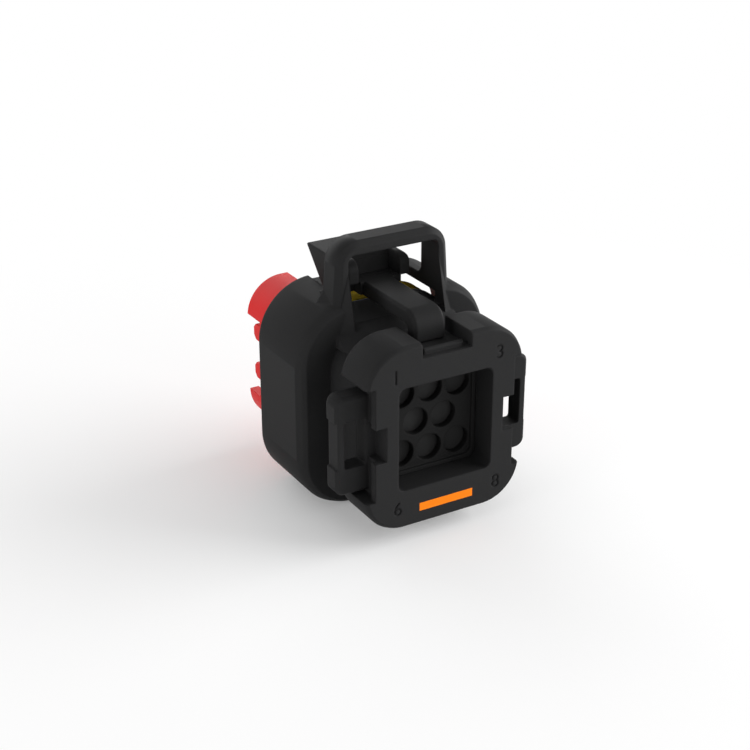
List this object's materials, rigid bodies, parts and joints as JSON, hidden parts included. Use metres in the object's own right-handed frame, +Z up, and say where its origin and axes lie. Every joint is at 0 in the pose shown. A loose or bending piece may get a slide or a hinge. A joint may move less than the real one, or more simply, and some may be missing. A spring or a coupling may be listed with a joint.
{
  "type": "wire harness connector plug",
  "caption": "Sealed rectangular wire-harness plug with a round-cornered hood, a latch lever under a guard arch, two side loops, a rubber face seal and a sliding contact lock.",
  "frame": {"origin": "middle of the bottom of the whole plug's box, on the surface it stands on", "axes": "+Z up, latch on top; +Y along the plug from the wire side to the mating end; +X to the right as seen from the wire side"},
  "size_m": [0.0378, 0.0452, 0.0483],
  "materials": {
    "black_plastic": "fine grain",
    "retainer_plastic": "fine grain",
    "latch_plastic": "fine grain",
    "wire_seal_rubber": "matte",
    "yellow_rubber": "satin",
    "red_plastic": "satin"
  },
  "bodies": {
    "plug_body": {"housing": "black_plastic", "seal_retainer": "retainer_plastic", "wire_seal": "wire_seal_rubber", "interface_seal": "yellow_rubber"},
    "latch": {"latch_lever": "latch_plastic"},
    "lock": {"contact_lock": "red_plastic"}
  },
  "joints": [
    {"name": "latch_flex", "type": "hinge", "parent": "plug_body", "child": "latch", "pos_m": [0, -0.01615, 0.03345], "axis": [1, 0, 0], "range_deg": [0, 8], "stiffness_Nm_per_rad": 0.5},
    {"name": "lock_slide", "type": "slide", "parent": "plug_body", "child": "lock", "axis": [0, 1, 0], "range_m": [-0.0016, 0]}
  ]
}
